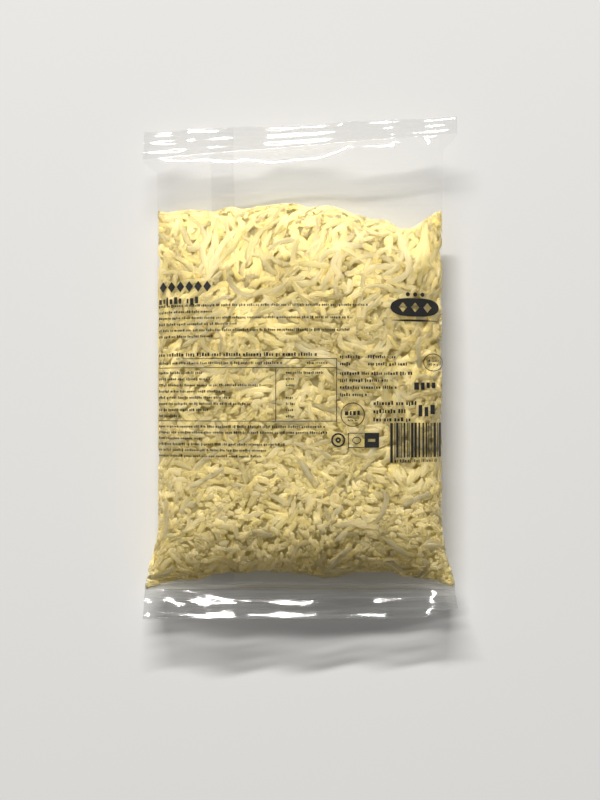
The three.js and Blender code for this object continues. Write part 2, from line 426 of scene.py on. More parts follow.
def film_material(name, facing, grazing, power, roughness, haze, clearness, creases=0.0):
    """Clear film: see-through but for a streaky haze, and shinier the flatter it is looked at.
    facing and grazing are the shares that it reflects straight on and at its flattest, haze is
    the lowest and the highest share that is scattered, and creases the height of fine ones."""
    nodes, links, output, material = new_material(name)
    place = nodes.new("ShaderNodeTexCoord")
    weight = nodes.new("ShaderNodeLayerWeight")
    weight.inputs["Blend"].default_value = 0.5
    slant = math_node(nodes, links, "POWER", weight.outputs["Facing"], power)
    share = math_node(nodes, links, "MULTIPLY_ADD", slant, grazing - facing, facing)
    clear = nodes.new("ShaderNodeBsdfTransparent")
    clear.inputs["Color"].default_value = (clearness, clearness, clearness, 1)
    scatter = nodes.new("ShaderNodeBsdfTranslucent")
    scatter.inputs["Color"].default_value = (0.99, 0.99, 0.98, 1)
    stretch = nodes.new("ShaderNodeMapping")
    stretch.inputs["Scale"].default_value = STREAK_SCALE
    links.new(place.outputs["Object"], stretch.inputs["Vector"])
    streak = nodes.new("ShaderNodeTexNoise")
    streak.inputs["Scale"].default_value = 1.0
    streak.inputs["Detail"].default_value = 1
    links.new(stretch.outputs["Vector"], streak.inputs["Vector"])
    hazy = nodes.new("ShaderNodeMapRange")
    hazy.inputs["From Min"].default_value = 0.35
    hazy.inputs["From Max"].default_value = 0.65
    hazy.inputs["To Min"].default_value = haze[0]
    hazy.inputs["To Max"].default_value = haze[1]
    links.new(streak.outputs["Fac"], hazy.inputs["Value"])
    gloss = nodes.new("ShaderNodeBsdfAnisotropic")
    gloss.inputs["Color"].default_value = (1, 1, 1, 1)
    gloss.inputs["Roughness"].default_value = roughness
    if creases:
        crease = nodes.new("ShaderNodeTexNoise")
        crease.inputs["Scale"].default_value = CREASE_SCALE
        links.new(place.outputs["Object"], crease.inputs["Vector"])
        bump = nodes.new("ShaderNodeBump")
        bump.inputs["Distance"].default_value = creases
        links.new(crease.outputs["Fac"], bump.inputs["Height"])
        links.new(bump.outputs["Normal"], gloss.inputs["Normal"])
    through_film = mix_shaders(nodes, links, hazy.outputs["Result"], clear, scatter)
    surface = mix_shaders(nodes, links, share, through_film, gloss)
    links.new(surface.outputs[0], output.inputs["Surface"])
    return material


# CHEESE_DEEP is both a deeper tone of the cheese and the painted shade of its low shreds and hollows.
CHEESE_PALE = (0.99, 0.938, 0.65, 1)
CHEESE_DEEP = (0.98, 0.908, 0.44, 1)
CHEESE_GLOW = 0.36  # share of the light that goes through a shred


def cheese_material():
    """Soft pale cheese, in which each shred has a tone of its own, deepened by painted shade where it
    lies low in the pile or in a hollow.
    """
    nodes, links, output, material = new_material("cheese")
    tone_and_shade = nodes.new("ShaderNodeAttribute")
    tone_and_shade.attribute_name = "tone_and_shade"
    mottle = nodes.new("ShaderNodeTexNoise")
    mottle.inputs["Scale"].default_value = 260
    mottle.inputs["Detail"].default_value = 3
    place = nodes.new("ShaderNodeTexCoord")
    links.new(place.outputs["Object"], mottle.inputs["Vector"])
    varied = math_node(nodes, links, "MULTIPLY_ADD", mottle.outputs["Fac"], 0.5, -0.25)
    total = math_node(nodes, links, "ADD", tone_and_shade.outputs["Fac"], varied)
    colour = nodes.new("ShaderNodeMix")
    colour.data_type = "RGBA"
    colour.clamp_factor = True
    links.new(total, colour.inputs["Factor"])
    colour.inputs["A"].default_value = CHEESE_PALE
    colour.inputs["B"].default_value = CHEESE_DEEP
    grain = nodes.new("ShaderNodeTexNoise")
    grain.inputs["Scale"].default_value = 1800
    grain.inputs["Detail"].default_value = 2
    links.new(place.outputs["Object"], grain.inputs["Vector"])
    bump = nodes.new("ShaderNodeBump")
    bump.inputs["Strength"].default_value = 0.35
    bump.inputs["Distance"].default_value = 0.0002
    links.new(grain.outputs["Fac"], bump.inputs["Height"])
    shader = nodes.new("ShaderNodeBsdfPrincipled")
    links.new(colour.outputs["Result"], shader.inputs["Base Color"])
    links.new(bump.outputs["Normal"], shader.inputs["Normal"])
    shader.inputs["Roughness"].default_value = 0.55
    shader.inputs["Specular IOR Level"].default_value = 0.15
    shader.subsurface_method = "BURLEY"
    shader.inputs["Subsurface Weight"].default_value = 1.0
    shader.inputs["Subsurface Radius"].default_value = (1.0, 1.0, 0.8)
    shader.inputs["Subsurface Scale"].default_value = 0.02
    glow = nodes.new("ShaderNodeBsdfTranslucent")
    links.new(colour.outputs["Result"], glow.inputs["Color"])
    both = mix_shaders(nodes, links, CHEESE_GLOW, shader, glow)
    links.new(both.outputs[0], output.inputs["Surface"])
    return material


def plain_material(name, dark, light, scale, roughness):
    """A matt material whose colour wanders a little between two near ones."""
    nodes, links, output, material = new_material(name)
    wander = nodes.new("ShaderNodeTexNoise")
    wander.inputs["Scale"].default_value = scale
    place = nodes.new("ShaderNodeTexCoord")
    links.new(place.outputs["Object"], wander.inputs["Vector"])
    colour = nodes.new("ShaderNodeMix")
    colour.data_type = "RGBA"
    links.new(wander.outputs["Fac"], colour.inputs["Factor"])
    colour.inputs["A"].default_value = (*dark, 1)
    colour.inputs["B"].default_value = (*light, 1)
    shader = nodes.new("ShaderNodeBsdfPrincipled")
    links.new(colour.outputs["Result"], shader.inputs["Base Color"])
    shader.inputs["Roughness"].default_value = roughness
    links.new(shader.outputs[0], output.inputs["Surface"])
    return material


film = film_material("film", facing=0.025, grazing=0.4, power=5, roughness=0.05,
                     haze=(0.03, 0.05), clearness=1.0)
seal = film_material("seal", facing=0.05, grazing=0.4, power=3, roughness=0.07,
                     haze=(0.04, 0.12), clearness=0.98, creases=0.00002)
crumpled = film_material("crumpled", facing=0.03, grazing=0.35, power=3, roughness=0.06,
                         haze=(0.06, 0.3), clearness=0.9, creases=0.00006)
pressed = film_material("pressed", facing=0.04, grazing=0.4, power=3, roughness=0.07,
                        haze=(0.35, 0.65), clearness=0.9, creases=0.00004)
folded = film_material("folded", facing=0.02, grazing=0.2, power=5, roughness=0.1,
                       haze=(0.02, 0.04), clearness=0.99)
cheese = cheese_material()
ink = plain_material("ink", (0.012, 0.012, 0.012), (0.03, 0.03, 0.028), 900, 0.45)

# ---------------------------------------------------------------- film

FRONT_COLUMNS = 260
BACK_COLUMNS = 100


def film_rows():
    """Stations along the tube, closer together where the film is creased."""
    stretches = [
        (BOTTOM_SEAL - BOTTOM_FIN, BOTTOM_SEAL, 29),
        (BOTTOM_SEAL, BOTTOM_SEAL + 12, 24),
        (BOTTOM_SEAL + 12, TOP_SEAL - 28, 112),
        (TOP_SEAL - 28, TOP_SEAL, 62),
        (TOP_SEAL, TOP_SEAL + TOP_FIN, 30),
    ]
    rows = [np.linspace(low, high, count, endpoint=False) for low, high, count in stretches]
    return np.concatenate([*rows, [TOP_SEAL + TOP_FIN]])


ROWS = film_rows()
front_x, front = lay(front_height, ROWS, FRONT_COLUMNS)
back_x, back = lay(back_height, ROWS, BACK_COLUMNS)
front_normals = normals_of(front, 1)
back_normals = normals_of(back, -1)

# The film's box is centred on the solid's.
bag_low, bag_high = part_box("bag")
film_low = np.minimum(front.reshape(-1, 3).min(0), back.reshape(-1, 3).min(0))
film_high = np.maximum(front.reshape(-1, 3).max(0), back.reshape(-1, 3).max(0))
SHIFT = (np.array(bag_low) + np.array(bag_high)) / (2 * MM) - (film_low + film_high) / 2
SHIFT[2] = 0.0


def zip_quads(a, b):
    """Faces between two lines of as many points, which run the same way."""
    return np.stack([a[:-1], a[1:], b[1:], b[:-1]], axis=-1)


def zip_triangles(a, b):
    """Faces between two lines of points whose counts differ, which run the same way."""
    faces = []
    i = j = 0
    while i < len(a) - 1 or j < len(b) - 1:
        a_first = (i + 1) / (len(a) - 1) <= (j + 1) / (len(b) - 1)
        if j == len(b) - 1 or (i < len(a) - 1 and a_first):
            faces.append((a[i], b[j], a[i + 1]))
            i += 1
        else:
            faces.append((a[i], b[j], b[j + 1]))
            j += 1
    return np.array(faces)


# The film is pressed dull from here outside the bottom seal line to there inside it.
PRESSED_OUT = 4.0
PRESSED_IN = 2.5


def build_film():
    """The whole film as one closed surface, with ribbed and creased fins."""
    rows = len(ROWS)
    front_ids = np.arange(front.shape[0] * front.shape[1]).reshape(front.shape[:2])
    back_ids = np.arange(back.shape[0] * back.shape[1]).reshape(back.shape[:2]) + front_ids.size
    front_quads = grid_quads(rows, FRONT_COLUMNS + 1)
    back_quads = grid_quads(rows, BACK_COLUMNS + 1)[:, ::-1] + front_ids.size
    left = zip_quads(front_ids[:, 0], back_ids[:, 0])
    right = zip_quads(back_ids[:, -1], front_ids[:, -1])
    quads = np.concatenate([front_quads, back_quads, left, right])
    ends = np.concatenate([zip_triangles(front_ids[0], back_ids[0]),
                           zip_triangles(back_ids[-1], front_ids[-1])])
    points = np.concatenate([front.reshape(-1, 3), back.reshape(-1, 3)])
    from_row = ROWS[:-1]
    kind = np.select([from_row > TOP_SEAL - 0.01, from_row > BOTTOM_SEAL + PRESSED_IN,
                      from_row > BOTTOM_SEAL - PRESSED_OUT], [1, 0, 3], 2)
    which = np.concatenate([np.repeat(kind, FRONT_COLUMNS), np.repeat(kind, BACK_COLUMNS), kind,
                            kind, np.ones(len(ends))])
    materials = [film, seal, crumpled, pressed]
    piece = make_piece("film", points, quads, materials, ends, which)
    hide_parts("bag")
    return piece


SEAM_COLUMNS = 12
SEAM_THICKNESS = 0.12
SEAM_CLEAR = 0.03  # from the film to the strip


def build_seam():
    """The folded seam, a strip on the outside of the back from cut edge to cut edge."""
    x = SEAM_X + SEAM_WIDTH * np.linspace(-0.5, 0.5, SEAM_COLUMNS + 1)
    rows = np.arange(len(ROWS))
    columns = np.stack([np.interp(x, back_x[r], np.arange(BACK_COLUMNS + 1)) for r in rows])
    row_places = np.broadcast_to(rows[:, None], columns.shape).astype(float)
    on_film = look_up(back, row_places, columns)
    down = unit(look_up(back_normals, row_places, columns))
    near = on_film + down * SEAM_CLEAR
    far = on_film + down * (SEAM_CLEAR + SEAM_THICKNESS)
    count = near.shape[0] * near.shape[1]
    ids = np.arange(count).reshape(near.shape[:2])
    far_ids = ids + count
    quads = np.concatenate([
        grid_quads(*ids.shape),
        grid_quads(*ids.shape)[:, ::-1] + count,
        zip_quads(ids[:, 0], far_ids[:, 0]),
        zip_quads(far_ids[:, -1], ids[:, -1]),
        zip_quads(far_ids[0], ids[0]),
        zip_quads(ids[-1], far_ids[-1]),
    ])
    points = np.concatenate([near.reshape(-1, 3), far.reshape(-1, 3)])
    return make_piece("film_seam", points, quads, [folded])


# ---------------------------------------------------------------- heap of cheese

FRONT_INSET = 1.4  # from the film to the core
BACK_INSET = 1.3
TOP_SLOPE = 15.0  # length over which the heap's top end slopes down
BOTTOM_SLOPE = 7.0
TOP_TIP = 0.5  # height of the heap's ends, as a share of the way from back to front
BOTTOM_TIP = 0.5
END_WANDER = 1.2  # how far the ends wander from their smooth lines
HEAP_COLUMNS = 130  # on the front, and as many on the back
HEAP_STEP = 1.25  # between the core's rows
END_RISE = 10.0  # typical height of an end, for measuring lengths over it


def heap_rows():
    """Each row of the heap as (end it belongs to, place in its slope, length so far)."""
    quarter = np.pi / 2
    rows = []
    bottom_length = quarter * np.hypot(BOTTOM_SLOPE, END_RISE) / np.sqrt(2)
    top_length = quarter * np.hypot(TOP_SLOPE, END_RISE) / np.sqrt(2)
    middle_length = TOP_SEAL * 2 - 30 - BOTTOM_SLOPE - TOP_SLOPE
    for t in np.arange(0, 1, HEAP_STEP / bottom_length):
        rows.append(("bottom", t * quarter, t * bottom_length))
    for t in np.arange(0, 1, HEAP_STEP / middle_length):
        rows.append(("middle", t, bottom_length + t * middle_length))
    for t in np.linspace(0, 1, int(top_length / HEAP_STEP)):
        rows.append(("top", t * quarter, bottom_length + middle_length + t * top_length))
    return rows


HEAP_ROWS = heap_rows()
HEAP_V = np.array([v for _, _, v in HEAP_ROWS])


def heap_place(kind, t, start, end):
    """y and thickness share of a row, between the heap's two ends."""
    if kind == "bottom":
        return start + BOTTOM_SLOPE * (1 - np.cos(t)), np.sin(t)
    if kind == "top":
        return end - TOP_SLOPE * (1 - np.sin(t)), np.cos(t)
    return mix(start + BOTTOM_SLOPE, end - TOP_SLOPE, t), 1.0


def under_film(share, y):
    """Points just under the front and the back film, at a share of their width."""
    row = np.interp(y, ROWS, np.arange(len(ROWS)))
    points = []
    for sheet, normals, inset in [(front, front_normals, FRONT_INSET),
                                  (back, back_normals, BACK_INSET)]:
        column = share * (sheet.shape[1] - 1)
        points.append(look_up(sheet, row, column) - inset * unit(look_up(normals, row, column)))
    return points


def heap_surface():
    """The core's surface as a grid, rows up the bag and columns once round it, and the
    share of its full thickness that each row has. At either end its two sides meet."""
    share = np.linspace(0, 1, HEAP_COLUMNS + 1)
    start = through(HEAP_START, share) + END_WANDER * noise(share * 19, 0 * share, 71)
    end = through(HEAP_END, share) + END_WANDER * noise(share * 19, 0 * share, 72)
    points = []
    shares = []
    for kind, t, _ in HEAP_ROWS:
        y, thickness = heap_place(kind, t, start, end)
        upper, lower = under_film(share, y)
        level = BOTTOM_TIP if kind == "bottom" else TOP_TIP
        tip = mix(lower, upper, level)
        upper = mix(tip, upper, thickness)
        lower = mix(tip, lower, thickness)
        points.append(np.concatenate([upper[:-1], lower[:0:-1]]))
        shares.append(np.full(2 * HEAP_COLUMNS, thickness))
    return np.stack(points), np.stack(shares)


def ring_normals(points):
    """Outward unit normals of a grid whose columns run once round."""
    along = np.gradient(points, axis=0)
    across = np.roll(points, -1, axis=1) - np.roll(points, 1, axis=1)
    return unit(np.cross(across, along))


heap, heap_share = heap_surface()
heap_normals = ring_normals(heap)
FRONT_GIRTH = SEAL_WIDTH  # length round the front of the heap
GIRTH = 2 * FRONT_GIRTH
HEAP_LENGTH = HEAP_V[-1]


def heap_column(w):
    """Column of the heap's grid at w round it, from 0 at the front's left edge."""
    w = w % GIRTH
    return w / GIRTH * 2 * HEAP_COLUMNS


def heap_row(v):
    return np.interp(v, HEAP_V, np.arange(len(HEAP_V)))


CORE_RELIEF = [(3.1, 0.35, 31), (1.5, 0.25, 32)]  # cell, height and seed
HOLLOW_CELL = (15.0, 7.0)  # across and along the bag
HOLLOW_DEPTH = 1.6
HOLLOW_LOW = 0.25  # share of that depth at the bottom end


def hollow(w, v):
    """Depth of the hollows between the clumps, which are deepest towards the airy end."""
    wander = noise(w / HOLLOW_CELL[0], v / HOLLOW_CELL[1], 63)
    return HOLLOW_DEPTH * smooth(1.6 * wander) * mix(HOLLOW_LOW, 1.0, v / HEAP_LENGTH)


def build_core():
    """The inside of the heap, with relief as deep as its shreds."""
    rows, columns = heap.shape[:2]
    w = np.arange(columns) / columns * GIRTH
    v, w = np.meshgrid(HEAP_V, w, indexing="ij")
    relief = sum(height * noise(w / cell, v / cell, seed) for cell, height, seed in CORE_RELIEF)
    sunk = hollow(w, v)
    points = heap + heap_normals * ((relief - sunk) * heap_share)[..., None]
    ids = np.arange(rows * columns).reshape(rows, columns)
    for end in (0, -1):
        points[end, :0:-1][:HEAP_COLUMNS - 1] = points[end, 1:HEAP_COLUMNS]
        ids[end, :0:-1][:HEAP_COLUMNS - 1] = ids[end, 1:HEAP_COLUMNS]
    used, quads = np.unique(ids.ravel()[grid_quads(rows, columns, wrap=True)],
                            return_inverse=True)
    quads = quads.reshape(-1, 4)
    core = make_piece("cheese_core", points.reshape(-1, 3)[used], quads, [cheese])
    # Painted shade: the core is coloured deeper where it sinks into hollows and between its bumps.
    add_tone_and_shade(core, clamp01(0.8 - 0.25 * relief + 0.2 * sunk).ravel()[used])
    return core


# ---------------------------------------------------------------- shreds

def cells(rng, pitch, low, high):
    """Places strewn over the heap, one to each cell of a jittered grid, from low to high."""
    w, v = np.meshgrid(np.arange(low, high, pitch), np.arange(0, HEAP_LENGTH, pitch))
    w = w.ravel() + pitch * rng.uniform(0, 1, w.size)
    v = v.ravel() + pitch * rng.uniform(0, 1, v.size)
    return w, v


def strew(rng, front_pitch, back_pitch):
    """Places on the front and on the back of the heap."""
    front_w, front_v = cells(rng, front_pitch, 0, FRONT_GIRTH)
    back_w, back_v = cells(rng, back_pitch, FRONT_GIRTH, GIRTH)
    return np.concatenate([front_w, back_w]), np.concatenate([front_v, back_v])


# The outline of a strip's section, in half widths and half thicknesses
SECTION = np.array([(-1, 0.2), (-0.62, 0.95), (0.62, 0.95), (1, 0.2), (0.7, -0.9), (-0.7, -0.9)])
SIDES = len(SECTION)
END_GAP = 0.8  # shreds stay this far from the heap's two tips
SKIN_GAP = 0.12  # and this far from the film
END_ROOM = 1.4  # more room that they have above the heap's sloping ends
GRAIN = 18.0  # over which neighbouring shreds lie much alike


def centred_sum(steps):
    """Running sum along the last axis, with its middle at nought."""
    total = np.cumsum(steps, axis=1)
    return total - total[:, steps.shape[1] // 2][:, None]


def build_shreds(name, seed, rings, pitches, size, curl, keep, layers, follow, narrowing, chips):
    """One mesh of loose pieces. size draws each one's length, width and thickness, and keep
    gives the share of them that is kept at a place, which may lie in a clump. layers are the
    lowest and the highest place of their middles, and follow how far they sink into hollows.
    narrowing is how much narrower their ends are, and chips how ragged their sides."""
    rng = np.random.default_rng(seed)
    w, v = strew(rng, *pitches)
    clump = noise(w / CLUMP, v / CLUMP, 61)
    kept = rng.uniform(0, 1, len(w)) < keep(v / HEAP_LENGTH, clump)
    w = w[kept]
    v = v[kept]
    count = len(w)

    def draw(spread):
        return rng.normal(0, spread, count)[:, None]

    length, width, thickness = (values[:, None] for values in size(rng, count, v / HEAP_LENGTH))
    heading = 0.5 + 1.6 * noise(w / GRAIN, v / GRAIN, 62)[:, None] + draw(0.6)
    place = np.linspace(-0.5, 0.5, rings)[None, :]
    t = place * length
    phase = rng.uniform(0, 2 * np.pi, count)[:, None]
    angle = heading + draw(curl) * t + draw(0.2) * np.sin(0.45 * t + phase)
    step = length / (rings - 1)
    path_w = w[:, None] + centred_sum(np.cos(angle) * step)
    path_v = v[:, None] + centred_sum(np.sin(angle) * step)
    path_v = np.clip(path_v, END_GAP, HEAP_LENGTH - END_GAP)
    row = heap_row(path_v)
    column = heap_column(path_w)
    base = look_up(heap, row, column, wrap=True)
    out = unit(look_up(heap_normals, row, column, wrap=True))
    share = look_up(heap_share[..., None], row, column, wrap=True)[..., 0]
    on_front = (path_w % GIRTH) < FRONT_GIRTH
    inset = np.where(on_front, FRONT_INSET, BACK_INSET)
    ceiling = inset - SKIN_GAP + END_ROOM * (1 - share)
    highest = inset - SKIN_GAP - thickness / 2
    layer = rng.uniform(*layers, count)[:, None]
    depth = mix(-0.1, highest, layer) + draw(0.18) * 2 * place + draw(0.12) * (1 - 4 * place**2)
    depth = depth - follow * hollow(path_w, path_v) * share
    centre = base + out * depth[..., None]
    tangent = unit(np.gradient(centre, axis=1))
    up = unit(out - (out * tangent).sum(-1, keepdims=True) * tangent)
    aside = np.cross(tangent, up)
    roll = (draw(0.12) + draw(0.3) * place)[..., None]
    wide = np.cos(roll) * aside + np.sin(roll) * up
    thick = np.cos(roll) * up - np.sin(roll) * aside
    nearer_end = np.abs(2 * np.clip(place + draw(0.08) * (1 - 4 * place**2), -0.5, 0.5))
    taper = 1 - narrowing * nearer_end ** rng.uniform(2.5, 9, count)[:, None]
    taper = taper * (1 + 0.08 * np.sin(1.3 * t + 2 * phase))
    chip = 1 + chips * rng.uniform(-1.1, 0.9, (count, rings, SIDES, 1))
    half_wide = (width / 2 * taper)[..., None, None]
    half_thick = (thickness / 2 * mix(1, taper, 0.6))[..., None, None]
    offset = chip * (half_wide * SECTION[:, :1] * wide[..., None, :]
                     + half_thick * SECTION[:, 1:] * thick[..., None, :])
    above = depth[..., None] + (offset * out[..., None, :]).sum(-1)
    excess = np.maximum(above - ceiling[..., None], 0)
    points = centre[..., None, :] + offset - excess[..., None] * out[..., None, :]
    piece = make_piece(name, points.reshape(-1, 3), shred_quads(count, rings), [cheese],
                       shred_caps(count, rings))
    # Each shred's tone is partly random and partly painted shade: the lower it lies in the pile, the
    # deeper its colour.
    tone_and_shade = rng.normal(0.45, 0.17, count) - 0.75 * (layer[:, 0] - 0.5)
    add_tone_and_shade(piece, np.repeat(clamp01(tone_and_shade), rings * SIDES))
    return piece


def for_each(faces, count, rings):
    """The same faces on each of as many strips."""
    first = np.arange(count)[:, None, None] * rings * SIDES
    return (faces[None] + first).reshape(-1, faces.shape[-1])


def shred_quads(count, rings):
    side = np.arange(SIDES)
    after = (side + 1) % SIDES
    ring = np.arange(rings - 1)[:, None] * SIDES
    faces = np.stack([ring + side, ring + after, ring + SIDES + after, ring + SIDES + side],
                     axis=-1).reshape(-1, 4)
    return for_each(faces, count, rings)


def shred_caps(count, rings):
    """Triangles that close both ends of each strip."""
    corner = np.arange(1, SIDES - 1)
    fan = np.stack([np.zeros_like(corner), corner + 1, corner], axis=-1)
    return for_each(np.concatenate([fan, fan[:, ::-1] + (rings - 1) * SIDES]), count, rings)


CLUMP = 11.0  # size of the patches with more sticks or more crumbs


def long_size(rng, count, up):
    length = rng.uniform(12, 26, count) * mix(0.75, 1.1, up)
    return length, rng.uniform(2.0, 3.0, count), rng.uniform(0.7, 1.1, count)


def short_size(rng, count, up):
    length = mix(5.0, 13.0, rng.uniform(0, 1, count) ** 1.5) * mix(0.8, 1.1, up)
    return length, rng.uniform(2.0, 3.2, count), rng.uniform(0.7, 1.1, count)


def bit_size(rng, count, up):
    length = rng.uniform(2.2, 5.0, count)
    return length, rng.uniform(1.5, 2.8, count), rng.uniform(0.7, 1.1, count)


def crumb_size(rng, count, up):
    length = rng.uniform(1.0, 2.4, count)
    return length, rng.uniform(0.9, 1.9, count), rng.uniform(0.7, 1.1, count)


def keep_long(up, clump):
    return mix(0.15, 1.0, up)


def keep_short(up, clump):
    return mix(0.4, 1.05, up) + 0.25 * clump


def keep_bits(up, clump):
    return mix(1.1, 0.45, up) - 0.2 * clump


def keep_crumbs(up, clump):
    return mix(1.0, 0.35, up) - 0.4 * clump


# ---------------------------------------------------------------- print

INK_LIFT = 0.02
INK_THICKNESS = 0.04
INK_STEP = 2.2  # longest stretch of a mark that stays straight


class Print:
    """Thin marks on the front film, laid out in millimetres as seen from above."""

    def __init__(self):
        self.strips = []

    def strip(self, upper, lower, ring=False):
        """A mark between two lines of as many points, from left to right."""
        self.strips.append((np.array(upper, float), np.array(lower, float), ring))

    def block(self, left, right, low, high):
        steps = max(int(np.ceil((right - left) / INK_STEP)), 1)
        x = np.linspace(left, right, steps + 1)
        self.strip(np.stack([x, np.full_like(x, high)], -1),
                   np.stack([x, np.full_like(x, low)], -1))

    def diamond(self, x, y, width, height):
        across = np.linspace(-1, 1, 5)
        half = height / 2 * (1 - np.abs(across)) + 0.05
        place = x + across * width / 2
        self.strip(np.stack([place, y + half], -1), np.stack([place, y - half], -1))

    def upright(self, x, low, high, width):
        steps = max(int(np.ceil((high - low) / INK_STEP)), 1)
        y = np.linspace(low, high, steps + 1)
        self.strip(np.stack([np.full_like(y, x - width / 2), y], -1),
                   np.stack([np.full_like(y, x + width / 2), y], -1))

    def rule(self, left, right, y, width):
        self.block(left, right, y - width / 2, y + width / 2)

    def ring(self, x, y, radius_x, radius_y, width, steps=36):
        turn = 2 * np.pi * np.arange(steps) / steps
        circle = np.stack([np.cos(turn), np.sin(turn)], -1)
        outer = [x, y] + circle * [radius_x, radius_y]
        inner = [x, y] + circle * [radius_x - width, radius_y - width]
        self.strip(inner, outer, ring=True)

    def line(self, rng, left, right, y, height, weight=1.0):
        """A row of small blocks of many widths, grouped as words are."""
        x = left
        while x < right - height * 0.4:
            for _ in range(rng.integers(2, 9)):
                wide = height * rng.uniform(0.28, 0.62) * weight
                if x + wide > right:
                    break
                low = y - height / 2 - (0.22 * height if rng.uniform() < 0.12 else 0)
                high = y + height * rng.choice([0.2, 0.28, 0.5], p=[0.45, 0.25, 0.3])
                self.block(x, x + wide, low, high)
                x += wide + height * 0.27
            x += height * 0.5

    def lines(self, rng, left, top, pitch, height, ends, weight=1.0):
        for i, right in enumerate(ends):
            self.line(rng, left, right, top - i * pitch, height, weight)

    def build(self):
        """All marks as closed thin solids that follow the film."""
        flat = []
        quads = []
        first = 0
        for upper, lower, ring in self.strips:
            n = len(upper)
            flat.append(np.concatenate([upper, lower]))
            i = np.arange(n if ring else n - 1)
            after = (i + 1) % n
            quads.append(np.stack([i, i + n, after + n, after], -1) + first)
            first += 2 * n
        flat = np.concatenate(flat)
        top_quads = np.concatenate(quads)
        on_film, out = film_at(flat[:, 0], flat[:, 1])
        low = on_film + out * INK_LIFT
        high = on_film + out * (INK_LIFT + INK_THICKNESS)
        count = len(flat)
        walls = []
        first = 0
        for upper, lower, ring in self.strips:
            n = len(upper)
            up_edge = np.arange(n) + first
            low_edge = up_edge + n
            if ring:
                up_edge = np.append(up_edge, up_edge[0])
                low_edge = np.append(low_edge, low_edge[0])
            walls.append(zip_quads(up_edge, up_edge + count))
            walls.append(zip_quads(low_edge + count, low_edge))
            if not ring:
                walls.append([[up_edge[0], up_edge[0] + count, low_edge[0] + count, low_edge[0]]])
                walls.append([[low_edge[-1], low_edge[-1] + count, up_edge[-1] + count, up_edge[-1]]])
            first += 2 * n
        faces = np.concatenate([top_quads + count, top_quads[:, ::-1], np.concatenate(walls)])
        points = np.concatenate([low, high])
        piece = make_piece("print", points, faces, [ink])
        piece.data.polygons.foreach_set("use_smooth", np.zeros(len(piece.data.polygons), bool))
        return piece


def film_at(x, y):
    """Points and normals of the front film where they are seen from above at x, y."""
    row = np.interp(y, ROWS, np.arange(len(ROWS)))
    column = np.empty_like(x)
    nearest = np.rint(row).astype(int)
    for r in np.unique(nearest):
        here = nearest == r
        column[here] = np.interp(x[here], front[r, :, 0], np.arange(FRONT_COLUMNS + 1))
    return look_up(front, row, column), unit(look_up(front_normals, row, column))


TEXT_LEFT = -60.8
TEXT_PITCH = 2.63
TEXT_HEIGHT = 1.05
RULE = 0.3
TABLE_RIGHT = 15.4
TABLE_LOW = -22.3
TABLE_HEAD = 0.3
TABLE_TOP = 4.1
FIRST_ROW = -1.8
COLUMN_X = -10.2
DIAMONDS = 6  # of the headline
DIAMOND_PITCH = 3.9


def print_left(marks, rng):
    """The headline, the long paragraph, the table and the paragraph under it."""
    for i in range(DIAMONDS):
        marks.diamond(TEXT_LEFT + (i + 0.5) * DIAMOND_PITCH, 34.9, 3.3, 4.6)
    marks.line(rng, TEXT_LEFT, -49.6, 29.1, 2.9, 0.8)
    marks.line(rng, -48.2, -42.7, 29.1, 2.9, 0.8)
    marks.lines(rng, TEXT_LEFT, 26.8, TEXT_PITCH, TEXT_HEIGHT, [28.7, -36.8, 21.1, -26.2, 21.1, -36.8])
    marks.line(rng, TEXT_LEFT, 7.6, 5.9, 1.5, 1.1)
    marks.rule(-52.8, TABLE_RIGHT, TABLE_TOP, RULE)
    marks.line(rng, TEXT_LEFT, -7.2, 2.3, TEXT_HEIGHT)
    marks.line(rng, 3.0, 11.8, 2.3, TEXT_HEIGHT)
    marks.rule(TEXT_LEFT, TABLE_RIGHT, TABLE_HEAD, RULE)
    marks.rule(TEXT_LEFT, TABLE_RIGHT, TABLE_LOW, RULE)
    marks.upright(COLUMN_X, TABLE_LOW, TABLE_HEAD, RULE)
    marks.upright(TABLE_RIGHT, TABLE_LOW, TABLE_TOP, RULE)
    row_ends = [-41, -37.6, -16, -31.3, -29.2, -21.1, -38.9, -50.7]
    marks.lines(rng, TEXT_LEFT, FIRST_ROW, TEXT_PITCH, TEXT_HEIGHT, row_ends)
    for i in (1, 2, 4, 5, 6, 7):
        marks.line(rng, -5.9, -2.2, FIRST_ROW - i * TEXT_PITCH, TEXT_HEIGHT)
    marks.line(rng, -5.9, 10.1, FIRST_ROW, TEXT_HEIGHT)
    marks.lines(rng, TEXT_LEFT, -24.6, 2.5, TEXT_HEIGHT, [10.6, 11.4, -41.4, -6.3, -13.1, -15.2])


def print_right(marks, rng):
    """The short lines, the marks and the bars at the right."""
    for y, left, right in [(4.9, 16.8, 25.8), (4.9, 28.7, 41.8), (1.9, 16.8, 22), (1.9, 28.7, 45.7),
                           (-2.1, 16.8, 47.8), (-5.0, 16.8, 38), (-8.0, 16.8, 41.4),
                           (-11.1, 16.8, 28.7)]:
        marks.line(rng, left, right, y, 1.35)
    marks.ring(57.2, 2.7, 4.6, 3.8, 0.3)
    for y in (3.4, 1.9):
        marks.line(rng, 54.6, 59.8, y, 0.9)
    marks.line(rng, 48.6, 60.2, -6.6, 3.4)
    for y, right in [(-14.7, 49.5), (-18.1, 45.2), (-21.6, 46.9)]:
        marks.line(rng, 31.0, right, y, 1.7)
    marks.line(rng, 50.5, 59.4, -17.5, 4.0)
    marks.ring(22.2, -19.6, 5.1, 5.1, 0.35)
    marks.line(rng, 18.9, 25.6, -18.6, 2.4)
    marks.line(rng, 20.1, 24.4, -21.9, 0.9)
    marks.ring(16.1, -30.3, 3.0, 3.0, 0.75)
    marks.ring(16.1, -30.3, 1.2, 1.2, 0.8, steps=16)
    print_label(marks)
    print_bars(marks, rng)


